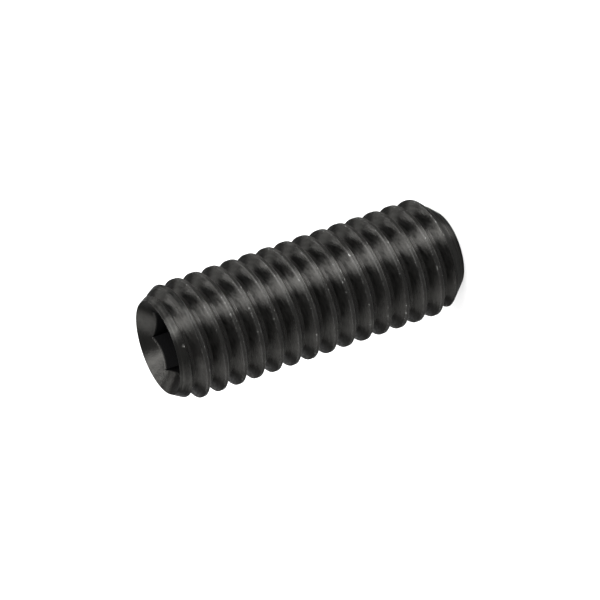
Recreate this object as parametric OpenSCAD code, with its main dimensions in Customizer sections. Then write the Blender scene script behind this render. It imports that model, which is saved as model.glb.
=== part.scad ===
// Grub set screw with a hexagon socket and a flat point.
// It stands on its flat point. Z runs along its axis, up to the socket end.

/* [Thread] */
// Diameter over the thread crests
thread_d = 5.9; // [5.5:0.1:8]
// Distance from one crest to the next along the axis
pitch = 1; // [0.9:0.05:1.25]
// Width of the flat left on each crest
crest_w = 0.18; // [0.1:0.005:0.2]
// Depth of the groove below the crests
groove_depth = 0.56; // [0.4:0.01:0.65]
// Angle between the two flanks of the groove
flank_angle = 60; // [50:1:62]
// Angle at which the thread starts around the axis
thread_start = 0; // [0:5:355]

/* [Body] */
// Length over both ends
length = 16; // [10:0.5:30]

/* [Flat point] */
// Diameter of the flat face that the screw bears with
point_d = 4; // [3:0.1:4.5]
// Angle of the point's chamfer, from the end face
point_chamfer_angle = 48; // [30:1:60]

/* [Socket end] */
// Diameter of the rim around the socket's mouth
rim_d = 4.74; // [4.2:0.02:4.74]
// Angle of the socket end's chamfer, from the end face
rim_chamfer_angle = 60; // [30:1:65]
// Width of the flat left on the rim
rim_w = 0.06; // [0.02:0.01:0.2]
// Angle of the countersink at the socket's mouth, from side to side
mouth_angle = 104; // [90:2:140]
// Width of the hexagon socket across its flats
socket_af = 3; // [2.5:0.1:3.2]
// Depth of the hexagon socket below the rim
socket_depth = 4; // [2:0.25:6]
// Diameter of the drilled hole's floor under the hexagon
drill_d = 2.9; // [2:0.1:2.9]
// Angle of the cone at the socket's floor, from side to side
floor_angle = 120; // [90:5:140]
// Angle by which the socket's corners are turned around the axis
socket_turn = 0; // [0:1:59]

/* [Hidden] */
$fn = 96;
// Steps of the thread's groove in each turn
turn_steps = 32;
thread_r = thread_d / 2;
rim_r = rim_d / 2;
mouth_r = rim_r - rim_w;
socket_r = socket_af / 2 / cos(30);
floor_z = length - socket_depth;
point_chamfer = (thread_r - point_d / 2) * tan(point_chamfer_angle);
rim_chamfer = (thread_r - rim_r) * tan(rim_chamfer_angle);
// Half the width of the groove's floor
floor_half = (pitch - crest_w) / 2 - groove_depth * tan(flank_angle / 2);
// How far the groove's section reaches past the crests, less than its turns need to meet
reach = crest_w / 2;
// Half the width of the groove's section at its mouth
mouth_half = floor_half + (groove_depth + reach) * tan(flank_angle / 2);
// How far the socket's cutters reach past the rim
over = 0.2;

// Outline that the thread is cut in, with the chamfers of both ends
module blank() {
    rotate_extrude()
        polygon([
            [0, 0],
            [point_d / 2, 0],
            [thread_r, point_chamfer],
            [thread_r, length - rim_chamfer],
            [rim_r, length],
            [0, length]
        ]);
}

// Corners of the groove's section, as [distance from the axis, height]
groove_section = [
    [thread_r + reach, -mouth_half],
    [thread_r - groove_depth, -floor_half],
    [thread_r - groove_depth, floor_half],
    [thread_r + reach, mouth_half]
];

// Right-hand groove that winds past both ends of the blank
module groove() {
    corners = len(groove_section);
    steps = ceil((length / pitch + 2) * turn_steps);
    points = [
        for (i = [0:steps])
            let (turn = i / turn_steps, a = thread_start + 360 * turn)
                for (c = groove_section)
                    [c[0] * cos(a), c[0] * sin(a), c[1] + (turn - 1) * pitch]
    ];
    sides = [
        for (i = [0:steps - 1], j = [0:corners - 1])
            let (
                a = i * corners + j,
                b = i * corners + (j + 1) % corners,
                c = a + corners,
                d = b + corners
            )
                for (face = [[a, d, b], [a, c, d]])
                    face
    ];
    start = [[0, 1, 2], [0, 2, 3]];
    e = steps * corners;
    end = [[e, e + 2, e + 1], [e, e + 3, e + 2]];
    polyhedron(points, concat(start, sides, end), convexity = 10);
}

// Round part of the socket: the drilled hole, its cone and the countersink of the mouth
module bore() {
    drill_r = drill_d / 2;
    mouth_slope = tan(mouth_angle / 2);
    rotate_extrude()
        polygon([
            [0, floor_z - drill_r / tan(floor_angle / 2)],
            [drill_r, floor_z],
            [drill_r, length - (mouth_r - drill_r) / mouth_slope],
            [mouth_r + over * mouth_slope, length + over],
            [0, length + over]
        ]);
}

module socket() {
    bore();
    translate([0, 0, floor_z])
        rotate(socket_turn)
            cylinder(r = socket_r, h = socket_depth + over, $fn = 6);
}

module set_screw() {
    color([0.09, 0.09, 0.09])
        difference() {
            blank();
            groove();
            socket();
        }
}

set_screw();
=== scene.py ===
import math

import bmesh
import bpy
from mathutils import Matrix, Vector


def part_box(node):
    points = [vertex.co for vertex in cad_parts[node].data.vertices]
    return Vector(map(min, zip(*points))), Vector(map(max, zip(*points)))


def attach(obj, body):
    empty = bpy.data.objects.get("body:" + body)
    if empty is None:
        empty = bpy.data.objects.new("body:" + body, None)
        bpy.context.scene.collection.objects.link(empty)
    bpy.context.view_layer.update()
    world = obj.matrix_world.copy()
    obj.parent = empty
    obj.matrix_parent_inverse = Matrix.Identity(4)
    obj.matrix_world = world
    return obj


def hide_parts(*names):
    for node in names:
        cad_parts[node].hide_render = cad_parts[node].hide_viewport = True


# Grub set screw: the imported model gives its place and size,
# and this script its finer thread, its eased edges and its blackened steel

mm = 0.001
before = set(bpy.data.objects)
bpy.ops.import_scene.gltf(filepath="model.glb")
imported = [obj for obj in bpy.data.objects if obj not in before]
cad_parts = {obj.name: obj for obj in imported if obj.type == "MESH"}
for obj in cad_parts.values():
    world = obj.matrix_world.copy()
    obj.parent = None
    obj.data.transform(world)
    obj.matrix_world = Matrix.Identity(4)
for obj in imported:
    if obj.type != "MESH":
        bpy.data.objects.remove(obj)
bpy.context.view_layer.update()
lowCorner, highCorner = (Vector(corner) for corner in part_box("set_screw"))
print("frame loaded: the screw is", round((highCorner.z - lowCorner.z) / mm, 2), "mm long")


# a socket of a node tree that takes plain arithmetic, so that a formula reads as one
class Field:
    def __init__(self, tree, socket):
        self.tree = tree
        self.socket = socket

    def __add__(self, other):
        return maths(self.tree, "ADD", self, other)

    def __radd__(self, other):
        return maths(self.tree, "ADD", other, self)

    def __sub__(self, other):
        return maths(self.tree, "SUBTRACT", self, other)

    def __rsub__(self, other):
        return maths(self.tree, "SUBTRACT", other, self)

    def __mul__(self, other):
        return maths(self.tree, "MULTIPLY", self, other)

    def __truediv__(self, other):
        return maths(self.tree, "DIVIDE", self, other)


# gives a node's input a field or a plain value
def feed(tree, socket, value):
    if isinstance(value, Field):
        tree.links.new(value.socket, socket)
    else:
        socket.default_value = value


def maths(tree, operation, *values):
    node = tree.nodes.new("ShaderNodeMath")
    node.operation = operation
    for place, value in enumerate(values):
        feed(tree, node.inputs[place], value)
    return Field(tree, node.outputs[0])


# goes from 0 at the start to 1 at the end, softly at both, whichever of the two is higher
def ramp(field, start, end):
    node = field.tree.nodes.new("ShaderNodeMapRange")
    node.interpolation_type = "SMOOTHSTEP"
    for name, value in (("Value", field), ("From Min", start), ("From Max", end)):
        feed(field.tree, node.inputs[name], value)
    return Field(field.tree, node.outputs[0])


def average(first, second):
    return first * 0.5 + second * 0.5


def combined(tree, x, y, z=0.0):
    node = tree.nodes.new("ShaderNodeCombineXYZ")
    for name, value in zip("XYZ", (x, y, z)):
        feed(tree, node.inputs[name], value)
    return Field(tree, node.outputs[0])


def separated(tree, vector):
    node = tree.nodes.new("ShaderNodeSeparateXYZ")
    feed(tree, node.inputs[0], vector)
    return [Field(tree, node.outputs[name]) for name in "XYZ"]


# the screw in mm and degrees
screw = {
    "diameter": (highCorner.x - lowCorner.x) / mm,
    "length": (highCorner.z - lowCorner.z) / mm,
    "pitch": 1.0,
    "crestWidth": 0.18,
    "grooveDepth": 0.56,
    "flankAngle": 60.0,
    "crestRound": 0.03,  # rolling leaves no sharp edge on the thread
    "rootRound": 0.06,
    "shoulderRound": 0.08,  # where a chamfer meets the crests
    "runOut": 0.45,  # the groove fades out over this length at the socket end
    "endLand": 0.05,  # the end skins reach this far down the chamfers
    "pointDiameter": 4.0,
    "pointAngle": 48.0,
    "pointEasing": 0.025,
    "rimDiameter": 4.74,
    "rimAngle": 60.0,
    "rimWidth": 0.06,
    "rimEasing": 0.015,
    "mouthAngle": 104.0,
    "mouthEasing": 0.015,
    "socketWidth": 3.0,
    "socketDepth": 4.0,
    "socketEasing": 0.05,
    "socketFloorEasing": 0.06,
    "drillDiameter": 2.9,
    "drillShare": 0.98,  # of the drill's radius, which leaves room for the easing round the floor
    "floorAngle": 120.0,
}

# how fine the mesh is, with its distances in mm
fineness = {
    "columns": 216,
    "rowsPerPitch": 24,
    "crowding": 0.6,  # 0 spaces the rows evenly, 1 draws them to the crests and the roots
    "easingSteps": 3,
    "skinWeld": 0.001,
    "seamWeld": 0.0015,
    "sliver": 0.0005,
    "sharpAngle": 38.0,
}


def slope(angle):
    return math.tan(math.radians(angle))


# distance along the axis from the middle of the nearest crest
def fromCrest(tree, turns, pitch):
    return maths(tree, "ABSOLUTE", maths(tree, "FLOORED_MODULO", turns, 1.0) - 0.5) * pitch


# the threaded skin between the end faces: a grid whose rows follow the helix, with an input for each size
def threadTree(sizes):
    tree = bpy.data.node_groups.new("threadedSkin", "GeometryNodeTree")
    tree.interface.new_socket("Geometry", in_out="OUTPUT", socket_type="NodeSocketGeometry")
    kinds = {float: "NodeSocketFloat", int: "NodeSocketInt"}
    for name, value in sizes.items():
        kind = kinds.get(type(value), "NodeSocketMaterial")
        tree.interface.new_socket(name, in_out="INPUT", socket_type=kind)
    inputs = tree.nodes.new("NodeGroupInput")
    field = {name: Field(tree, inputs.outputs[name]) for name in sizes}

    # one turn across, and one pitch more than the length along, because the rows climb by a pitch in a turn
    turns = maths(tree, "CEIL", field["Length"] / field["Pitch"]) + 1
    grid = tree.nodes.new("GeometryNodeMeshGrid")
    feed(tree, grid.inputs["Vertices X"], field["Columns"] + 1)
    feed(tree, grid.inputs["Vertices Y"], turns * field["Rows per Pitch"] + 1)
    place = Field(tree, tree.nodes.new("GeometryNodeInputPosition").outputs[0])
    gridX, gridY, _ = separated(tree, place)
    around = gridX + 0.5
    along = (gridY + 0.5) * turns - 1

    # rows crowd at the crests and the roots, where the form bends
    crowded = along - maths(tree, "SINE", along * (4 * math.pi)) * field["Crowding"] / (4 * math.pi)
    lowest = field["End Land"]
    highest = field["Length"] - field["End Land"]
    height = maths(tree, "MAXIMUM", (crowded + around) * field["Pitch"], lowest)
    height = maths(tree, "MINIMUM", height, highest)

    # depth of the groove
    flank = (fromCrest(tree, crowded, field["Pitch"]) - field["Crest Width"] / 2) * field["Flank Slope"]
    depth = maths(tree, "SMOOTH_MAX", flank, 0.0, field["Crest Round"])
    depth = maths(tree, "SMOOTH_MIN", depth, field["Groove Depth"], field["Root Round"])
    depth = depth * ramp(highest - height, 0.0, field["Run Out"])

    # the chamfers cut the crests away at both ends
    pointCone = field["Point Radius"] + height * field["Point Slope"]
    rimCone = field["Rim Radius"] + (field["Length"] - height) * field["Rim Slope"]
    cone = maths(tree, "MINIMUM", pointCone, rimCone)
    radius = maths(tree, "SMOOTH_MIN", field["Diameter"] / 2 - depth, cone, field["Shoulder Round"])

    angle = around * (2 * math.pi)
    x = radius * maths(tree, "COSINE", angle)
    y = radius * maths(tree, "SINE", angle)
    bend = tree.nodes.new("GeometryNodeSetPosition")
    feed(tree, bend.inputs["Position"], combined(tree, x, y, height))
    weld = tree.nodes.new("GeometryNodeMergeByDistance")
    weld.inputs["Distance"].default_value = fineness["skinWeld"] * mm
    realize = tree.nodes.new("GeometryNodeRealizeInstances")
    paint = tree.nodes.new("GeometryNodeSetMaterial")
    feed(tree, paint.inputs["Material"], field["Material"])
    made = grid.outputs["Mesh"]
    for node in (bend, weld, realize, paint):
        tree.links.new(made, node.inputs["Geometry"])
        made = node.outputs["Geometry"]
    tree.links.new(made, tree.nodes.new("NodeGroupOutput").inputs[0])
    return tree


# the skin as a plain mesh, once the tree has been run with the screw's sizes
def threadedSkin(material):
    sizes = {
        "Diameter": screw["diameter"] * mm,
        "Length": screw["length"] * mm,
        "Pitch": screw["pitch"] * mm,
        "Crest Width": screw["crestWidth"] * mm,
        "Groove Depth": screw["grooveDepth"] * mm,
        "Flank Slope": 1 / slope(screw["flankAngle"] / 2),
        "Point Radius": screw["pointDiameter"] / 2 * mm,
        "Point Slope": 1 / slope(screw["pointAngle"]),
        "Rim Radius": screw["rimDiameter"] / 2 * mm,
        "Rim Slope": 1 / slope(screw["rimAngle"]),
        "Crest Round": screw["crestRound"] * mm,
        "Root Round": screw["rootRound"] * mm,
        "Shoulder Round": screw["shoulderRound"] * mm,
        "End Land": screw["endLand"] * mm,
        "Run Out": screw["runOut"] * mm,
        "Crowding": fineness["crowding"],
        "Rows per Pitch": fineness["rowsPerPitch"],
        "Columns": fineness["columns"],
        "Material": material,
    }
    tree = threadTree(sizes)
    skin = bpy.data.objects.new("threadedSkin", bpy.data.meshes.new("threadedSkin"))
    bpy.context.scene.collection.objects.link(skin)
    modifier = skin.modifiers.new("thread", "NODES")
    modifier.node_group = tree
    for item in tree.interface.items_tree:
        if item.in_out == "INPUT":
            modifier[item.identifier] = sizes[item.name]
    shown = skin.evaluated_get(bpy.context.evaluated_depsgraph_get())
    mesh = bpy.data.meshes.new_from_object(shown)
    skin.modifiers.remove(modifier)
    bpy.data.objects.remove(skin)
    print("thread made:", len(mesh.polygons), "faces")
    return mesh


# an outline with its corners rounded: each corner is (radius from the axis, height, rounding)
def roundedOutline(corners):
    steps = fineness["easingSteps"]
    points = []
    for place, (radius, height, rounding) in enumerate(corners):
        here = Vector((radius, height))
        if rounding == 0:
            points.append(here)
            continue
        toLast = (Vector(corners[place - 1][:2]) - here).normalized()
        toNext = (Vector(corners[place + 1][:2]) - here).normalized()
        half = toLast.angle(toNext) / 2
        reach = rounding / math.tan(half)
        centre = here + (toLast + toNext).normalized() * (rounding / math.sin(half))
        first = here + toLast * reach - centre
        last = here + toNext * reach - centre
        sweep = first.angle_signed(last)
        for step in range(steps + 1):
            turned = Matrix.Rotation(-sweep * step / steps, 2) @ first
            points.append(centre + turned)
    return points


# distance from the axis to the hexagon's wall
def hexagonRadius(angle):
    fromFlat = (angle % (math.pi / 3)) - math.pi / 6
    return screw["socketWidth"] / 2 / math.cos(fromFlat)


# from the chamfer over the rim, down the countersink and the hexagon to the drilled floor
def socketOutline(angle):
    length = screw["length"]
    rimRadius = screw["rimDiameter"] / 2
    mouthRadius = rimRadius - screw["rimWidth"]
    wall = hexagonRadius(angle)
    wallTop = length - (mouthRadius - wall) / slope(screw["mouthAngle"] / 2)
    floor = length - screw["socketDepth"]
    drillRadius = screw["drillDiameter"] / 2
    land = screw["endLand"]
    return roundedOutline([
        (rimRadius + land / slope(screw["rimAngle"]), length - land, 0),
        (rimRadius, length, screw["rimEasing"]),
        (mouthRadius, length, screw["mouthEasing"]),
        (wall, wallTop, screw["socketEasing"]),
        (wall, floor, screw["socketFloorEasing"]),
        (drillRadius * screw["drillShare"], floor, 0),
        (0, floor - drillRadius / slope(screw["floorAngle"] / 2), 0),
    ])


# from the chamfer over the edge to the middle of the flat face, the same at every angle
def pointOutline(angle):
    radius = screw["pointDiameter"] / 2
    land = screw["endLand"]
    return roundedOutline([
        (radius + land / slope(screw["pointAngle"]), land, 0),
        (radius, 0, screw["pointEasing"]),
        (radius / 2, 0, 0),
        (0, 0, 0),
    ])


# a skin spun from an outline that may change with the angle, closed at the axis
def spunSkin(target, outlineAt):
    columns = fineness["columns"]
    rings = []
    for column in range(columns):
        angle = 2 * math.pi * column / columns
        rings.append([
            target.verts.new((point.x * math.cos(angle) * mm, point.x * math.sin(angle) * mm, point.y * mm))
            for point in outlineAt(angle)[:-1]
        ])
    centre = target.verts.new((0, 0, outlineAt(0)[-1].y * mm))
    for column in range(columns):
        here, there = rings[column], rings[(column + 1) % columns]
        for row in range(len(here) - 1):
            target.faces.new((here[row], there[row], there[row + 1], here[row + 1]))
        target.faces.new((here[-1], there[-1], centre))


def buildScrew(material):
    shape = bmesh.new()
    shape.from_mesh(threadedSkin(material))
    spunSkin(shape, socketOutline)
    spunSkin(shape, pointOutline)
    bmesh.ops.remove_doubles(shape, verts=shape.verts, dist=fineness["seamWeld"] * mm)
    bmesh.ops.dissolve_degenerate(shape, dist=fineness["sliver"] * mm, edges=shape.edges)
    bmesh.ops.recalc_face_normals(shape, faces=shape.faces)
    openEdges = [edge for edge in shape.edges if not edge.is_manifold]
    print("screw joined:", len(shape.faces), "faces,", len(openEdges), "open edges")
    mesh = bpy.data.meshes.new("setScrewSteel")
    shape.to_mesh(mesh)
    shape.free()
    mesh.shade_smooth()
    mesh.set_sharp_from_angle(angle=math.radians(fineness["sharpAngle"]))
    mesh.materials.clear()
    mesh.materials.append(material)
    piece = bpy.data.objects.new("set_screw_steel", mesh)
    bpy.context.scene.collection.objects.link(piece)
    return piece


# blackened steel: a dark oxide, brushed round the axis and rubbed thin on the crests, with painted shade
# inside the socket
# lengths are in mm, a pattern is (scale, detail, roughness), and a ramp is (start, end)
steel = {
    "edgeTint": (0.5, 0.5, 0.5, 1),
    "brushing": 1.0,
    "brushingTurn": 0.25,
    "roughness": (0.33, 0.52),
    "roughnessRamp": (0.3, 0.7),
    "oxide": (0.0185, 0.0181, 0.0172, 1),
    "oxideLight": (0.0275, 0.0270, 0.0256, 1),
    "oxideRamp": (0.35, 0.65),
    "mottlePattern": (900, 4, 0.6),
    "grainPattern": (9000, 3, 0.6),
    "streakPattern": (22000, 2, 0.6),
    "streakLength": 8,  # times the width
    "rubbed": (0.060, 0.059, 0.057, 1),
    "wornDepth": (0.09, 0.03),  # under the crests
    "wornWidth": (0.01, 0.05),  # to either side of a crest's edge
    "wornRamp": (0.38, 0.62),
    "wornRoughness": 0.45,
    "nicked": (0.15, 0.15, 0.145, 1),
    "nickPattern": (4800, 2, 0.5),
    "nickRamp": (0.64, 0.70),
    "toolMark": (0.010, 0.010, 0.0095, 1),
    "toolPattern": (6250, 3, 0.6),
    "toolRamp": (0.62, 0.42),
    "toolPatches": (0.2, 0.6),
    "toolDepth": 0.012,
    "chamferDepth": (0.02, 0.07),  # a surface sunk less than this under a chamfer's cone belongs to it
    "dentPlace": (-1.78, 1.85, 15.67),
    "dentSize": 0.13,
    "dentRaggedness": 0.16,
    "dentRamp": (0.2, 0.8),
    "dentDepth": 0.03,
    # painted shade: the near-black colour given to the socket's inside, standing in for the shade deep in
    # it
    "socketPaintedShade": (0.0036, 0.0036, 0.0037, 1),
    "socketTop": (0.02, 0.12),  # under the countersink's cone
    "socketReach": (1.78, 1.82),  # from the axis
    "socketBottom": (5, 6),  # above the point's face
    "innerRoughness": 0.5,
    "lineSpacing": 0.09,
    "lineDepth": 0.004,
    "lineWaver": 0.03,
}


def noise(tree, coords, pattern):
    node = tree.nodes.new("ShaderNodeTexNoise")
    feed(tree, node.inputs["Vector"], coords)
    for name, value in zip(("Scale", "Detail", "Roughness"), pattern):
        feed(tree, node.inputs[name], value)
    return Field(tree, node.outputs[0])


def mixColours(tree, share, first, second):
    node = tree.nodes.new("ShaderNodeMix")
    node.data_type = "RGBA"
    feed(tree, node.inputs["Factor"], share)
    feed(tree, node.inputs[6], first)
    feed(tree, node.inputs[7], second)
    return Field(tree, node.outputs[2])


# one of the steel's rows of lengths, in metres
def lengths(name):
    return [value * mm for value in steel[name]]


def blackenedSteel():
    material = bpy.data.materials.new("blackenedSteel")
    material.use_nodes = True
    tree = material.node_tree
    shader = tree.nodes["Principled BSDF"]
    shader.inputs["Metallic"].default_value = 1.0
    shader.inputs["Specular Tint"].default_value = steel["edgeTint"]
    shader.inputs["Anisotropic"].default_value = steel["brushing"]
    shader.inputs["Anisotropic Rotation"].default_value = steel["brushingTurn"]

    coords = Field(tree, tree.nodes.new("ShaderNodeTexCoord").outputs["Object"])
    x, y, z = separated(tree, coords)
    radius = maths(tree, "SQRT", x * x + y * y)

    # the brushing runs round the screw, so a highlight is drawn out along it
    feed(tree, shader.inputs["Tangent"], combined(tree, y * -1, x))

    # mottled oxide, with streaks that run round as the brushing does
    mottle = noise(tree, coords, steel["mottlePattern"])
    grain = noise(tree, coords, steel["grainPattern"])
    stretched = combined(tree, x / steel["streakLength"], y / steel["streakLength"], z + radius)
    streaks = noise(tree, stretched, steel["streakPattern"])
    lighter = ramp(average(mottle, streaks), *steel["oxideRamp"])
    colour = mixColours(tree, lighter, steel["oxide"], steel["oxideLight"])

    # the two edges of each crest are rubbed in patches and nicked
    pitch = screw["pitch"] * mm
    turns = z * (1 / pitch) - maths(tree, "ARCTAN2", y, x) * (1 / (2 * math.pi))
    fromEdge = maths(tree, "ABSOLUTE", fromCrest(tree, turns, pitch) - screw["crestWidth"] / 2 * mm)
    onThread = ramp(radius, *[(screw["diameter"] / 2 - depth) * mm for depth in steel["wornDepth"]])
    edge = (1 - ramp(fromEdge, *lengths("wornWidth"))) * onThread
    worn = edge * ramp(average(mottle, grain), *steel["wornRamp"])
    nicks = edge * ramp(noise(tree, coords, steel["nickPattern"]), *steel["nickRamp"])
    colour = mixColours(tree, worn, colour, steel["rubbed"])
    colour = mixColours(tree, nicks, colour, steel["nicked"])

    # the chamfers keep the tool's marks, which run round them
    rimCone = screw["rimDiameter"] / 2 * mm + (screw["length"] * mm - z) * (1 / slope(screw["rimAngle"]))
    pointCone = screw["pointDiameter"] / 2 * mm + z * (1 / slope(screw["pointAngle"]))
    sunken = maths(tree, "MINIMUM", rimCone, pointCone) - radius
    onChamfer = 1 - ramp(sunken, *lengths("chamferDepth"))
    marks = noise(tree, combined(tree, radius, z), steel["toolPattern"])
    marked = onChamfer * ramp(marks, *steel["toolRamp"]) * ramp(mottle, *steel["toolPatches"])
    colour = mixColours(tree, marked, colour, steel["toolMark"])

    # one ragged dent in the socket end's chamfer
    reach = tree.nodes.new("ShaderNodeVectorMath")
    reach.operation = "DISTANCE"
    feed(tree, reach.inputs[0], coords)
    feed(tree, reach.inputs[1], lengths("dentPlace"))
    fromDent = Field(tree, reach.outputs["Value"]) + (streaks - 0.5) * (steel["dentRaggedness"] * mm)
    dent = ramp(fromDent, steel["dentSize"] * mm, 0.0)
    colour = mixColours(tree, ramp(dent, *steel["dentRamp"]), colour, steel["rubbed"])

    # painted shade: the socket below the countersink is coloured near black, standing in for the shade deep
    # in the hexagon
    mouthSlope = slope(screw["mouthAngle"] / 2)
    coneTip = (screw["length"] - (screw["rimDiameter"] / 2 - screw["rimWidth"]) / mouthSlope) * mm
    belowCone = radius * (1 / mouthSlope) + coneTip - z
    inner = ramp(belowCone, *lengths("socketTop")) * (1 - ramp(radius, *lengths("socketReach")))
    paintedShadeShare = inner * ramp(z, *lengths("socketBottom"))
    colour = mixColours(tree, paintedShadeShare, colour, steel["socketPaintedShade"])
    feed(tree, shader.inputs["Base Color"], colour)

    # the streaks are duller, and so are the rubbed edges and the socket
    glossy, dull = steel["roughness"]
    rough = glossy + ramp(streaks, *steel["roughnessRamp"]) * (dull - glossy)
    rough = rough + worn * steel["wornRoughness"] + inner * steel["innerRoughness"]
    feed(tree, shader.inputs["Roughness"], rough)

    # turning lines run round wherever the surface climbs or widens; the height is counted in their depth
    wavering = z + radius + mottle * (steel["lineWaver"] * mm)
    lines = maths(tree, "SINE", wavering * (2 * math.pi / (steel["lineSpacing"] * mm)))
    height = lines * 0.5 + grain + onChamfer * marks * (steel["toolDepth"] / steel["lineDepth"])
    height = height - dent * (steel["dentDepth"] / steel["lineDepth"])
    bump = tree.nodes.new("ShaderNodeBump")
    bump.inputs["Distance"].default_value = steel["lineDepth"] * mm
    feed(tree, bump.inputs["Height"], height)
    tree.links.new(bump.outputs[0], shader.inputs["Normal"])
    print("steel mixed:", len(tree.nodes), "nodes")
    return material


screwPiece = buildScrew(blackenedSteel())
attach(screwPiece, "root")
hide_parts("set_screw")
print("screw in place")


# where the camera stands: degrees of the line of sight from the screw's axis, of the axis in the picture,
# and of the screw about its axis; metres to the screw's middle, and the pixel where that middle shows
view = {
    "fromAxis": 68.0,
    "tilt": 19.0,
    "turn": 310.1,
    "distance": 0.181,
    "lens": 221.3,
    "sensor": 36.0,
    "clip": (0.01, 20.0),
    "centre": (303.2, 298.1),
    "pixels": 600,
}


# the camera's right, down and ahead, as directions in the screw's frame
def cameraAxes():
    fromAxis, tilt, turn = (math.radians(view[name]) for name in ("fromAxis", "tilt", "turn"))
    toPoint = Vector((
        math.sin(fromAxis) * math.cos(tilt),
        -math.sin(fromAxis) * math.sin(tilt),
        math.cos(fromAxis),
    ))
    side = Vector((math.sin(tilt), math.cos(tilt), 0))
    zAxis = -toPoint
    xAxis = side * math.cos(turn) - toPoint.cross(side) * math.sin(turn)
    yAxis = zAxis.cross(xAxis)
    return [Vector((xAxis[row], yAxis[row], zAxis[row])) for row in range(3)]


right, down, ahead = cameraAxes()
middle = (lowCorner + highCorner) / 2


def addCamera():
    data = bpy.data.cameras.new("camera")
    data.lens = view["lens"]
    data.sensor_width = view["sensor"]
    data.clip_start, data.clip_end = view["clip"]
    camera = bpy.data.objects.new("camera", data)
    bpy.context.scene.collection.objects.link(camera)
    perPixel = view["distance"] * view["sensor"] / view["lens"] / view["pixels"]
    across, under = ((pixel - view["pixels"] / 2) * perPixel for pixel in view["centre"])
    place = middle - ahead * view["distance"] - right * across - down * under
    turned = Matrix((right, -down, -ahead)).transposed()
    camera.matrix_world = Matrix.Translation(place) @ turned.to_4x4()
    bpy.context.scene.camera = camera


# the floor, the background and how far off the lamps stand, in metres
studio = {
    "lampDistance": 0.30,
    "floor": (0.9, 0.9, 0.9, 1),
    "floorHalf": 2.0,
    "floorRoughness": 0.9,
    "floorGlow": 0.6,  # share of plain white that is seen on the floor
    "white": 1.0,
    "ambient": 0.75,
}

# soft boxes that face the screw: degrees round it from the camera, degrees up from the floor, metres across
lamps = {
    "keyBox": {"round": 39.5, "up": 15, "size": (0.175, 0.15), "brightness": 26},
    "keyTop": {"round": 31, "up": 55, "size": (0.12, 0.16), "brightness": 19.5},
    "backBox": {"round": 120, "up": 55, "size": (0.08, 0.15), "brightness": 24},
    "backLow": {"round": 127, "up": 15, "size": (0.16, 0.15), "brightness": 8},
    "fillBox": {"round": -110, "up": 35, "size": (0.24, 0.30), "brightness": 4.3},
}


def addLamps():
    toCamera = Vector((-ahead.x, -ahead.y, 0)).normalized()
    for name, lamp in lamps.items():
        up = math.radians(lamp["up"])
        facing = Matrix.Rotation(math.radians(lamp["round"]), 3, "Z") @ toCamera
        away = facing * math.cos(up) + Vector((0, 0, math.sin(up)))
        side = Vector((0, 0, 1)).cross(away).normalized()
        data = bpy.data.lights.new(name, "AREA")
        data.shape = "RECTANGLE"
        data.size, data.size_y = lamp["size"]
        data.energy = lamp["brightness"] * math.pi * data.size * data.size_y
        box = bpy.data.objects.new(name, data)
        turned = Matrix((side, away.cross(side), away)).transposed()
        box.matrix_world = Matrix.Translation(middle + away * studio["lampDistance"]) @ turned.to_4x4()
        bpy.context.scene.collection.objects.link(box)


# 1 for what the camera sees straight, in a reflection or through glass
def seenShare(tree):
    path = tree.nodes.new("ShaderNodeLightPath")
    names = ("Is Camera Ray", "Is Glossy Ray", "Is Transmission Ray")
    camera, glossy, glass = (Field(tree, path.outputs[name]) for name in names)
    return maths(tree, "MINIMUM", camera + glossy + glass, 1.0)


def addWorld():
    world = bpy.data.worlds.new("studio")
    world.use_nodes = True
    tree = world.node_tree
    background = tree.nodes["Background"]
    background.inputs["Color"].default_value = (1, 1, 1, 1)
    strength = seenShare(tree) * (studio["white"] - studio["ambient"]) + studio["ambient"]
    feed(tree, background.inputs["Strength"], strength)
    bpy.context.scene.world = world


def addFloor():
    half = studio["floorHalf"]
    mesh = bpy.data.meshes.new("floor")
    corners = [(-half, -half, 0), (half, -half, 0), (half, half, 0), (-half, half, 0)]
    mesh.from_pydata(corners, [], [(0, 1, 2, 3)])
    floor = bpy.data.objects.new("floor", mesh)
    bpy.context.scene.collection.objects.link(floor)
    material = bpy.data.materials.new("paleFloor")
    material.use_nodes = True
    tree = material.node_tree
    shader = tree.nodes["Principled BSDF"]
    shader.inputs["Base Color"].default_value = studio["floor"]
    shader.inputs["Roughness"].default_value = studio["floorRoughness"]
    shader.inputs["Specular IOR Level"].default_value = 0.0
    glow = tree.nodes.new("ShaderNodeEmission")
    mix = tree.nodes.new("ShaderNodeMixShader")
    feed(tree, mix.inputs[0], seenShare(tree) * studio["floorGlow"])
    tree.links.new(shader.outputs[0], mix.inputs[1])
    tree.links.new(glow.outputs[0], mix.inputs[2])
    tree.links.new(mix.outputs[0], tree.nodes["Material Output"].inputs["Surface"])
    mesh.materials.append(material)


addCamera()
addLamps()
addWorld()
addFloor()
bpy.context.scene.view_settings.view_transform = "Standard"
print("camera, lamps and floor in place")
